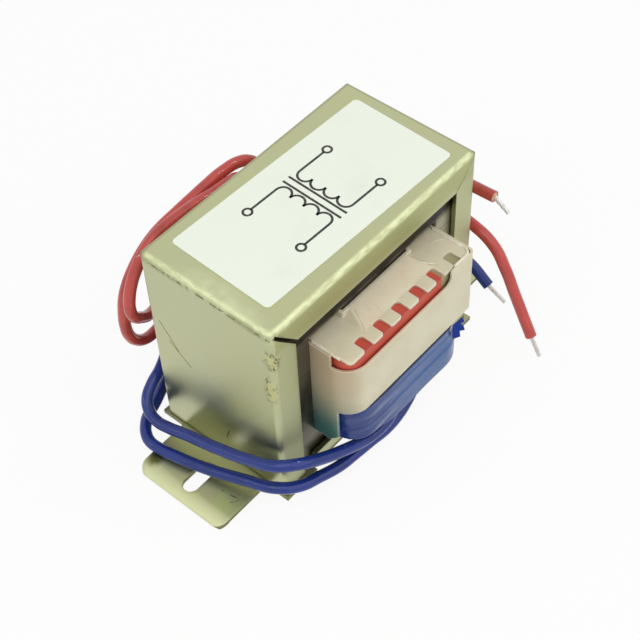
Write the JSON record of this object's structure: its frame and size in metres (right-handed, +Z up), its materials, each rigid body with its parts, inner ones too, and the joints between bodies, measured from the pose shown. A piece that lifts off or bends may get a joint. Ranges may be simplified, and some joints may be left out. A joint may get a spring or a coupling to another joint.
{
  "type": "isolation transformer",
  "caption": "Chassis-mount isolation transformer: laminated core in a folded sheet cover on a slotted-foot base, with a shrouded coil and loose wire leads.",
  "frame": {"origin": "middle of the part, on the surface that the curled ends of its feet stand on", "axes": "+X runs across the two feet, -Y is the front, where the coil faces the viewer, and +Z is up"},
  "size_m": [0.0876, 0.064, 0.0516],
  "materials": {
    "zinc_sheet": "yellow-green chromated zinc plate, satin",
    "label_film": "satin printed film",
    "lamination_steel": "varnished silicon steel, dull",
    "moulded_nylon": "translucent natural nylon, moulded",
    "shroud_sheet": "translucent moulded plastic",
    "copper_wire": "enamelled copper",
    "red_tape": "polyester tape, glossy",
    "blue_tape": "polyester tape, glossy",
    "red_pvc": "extruded PVC insulation",
    "blue_pvc": "extruded PVC insulation",
    "tinned_copper": "tinned stranded copper"
  },
  "bodies": {
    "root": {"cover": "zinc_sheet", "base_plate": "zinc_sheet", "label": "label_film", "core_e_stack": "lamination_steel", "core_i_stack": "lamination_steel", "bobbin": "moulded_nylon", "primary_winding": "copper_wire", "primary_tape": "red_tape", "secondary_winding": "copper_wire", "secondary_tape": "blue_tape", "front_shroud": "shroud_sheet", "rear_shroud": "shroud_sheet", "red_lead_1": "red_pvc", "red_lead_2": "red_pvc", "blue_lead_1": "blue_pvc", "blue_lead_2": "blue_pvc", "red_tip_1": "tinned_copper", "red_tip_2": "tinned_copper", "blue_tip_1": "tinned_copper", "blue_tip_2": "tinned_copper"}
  },
  "joints": []
}
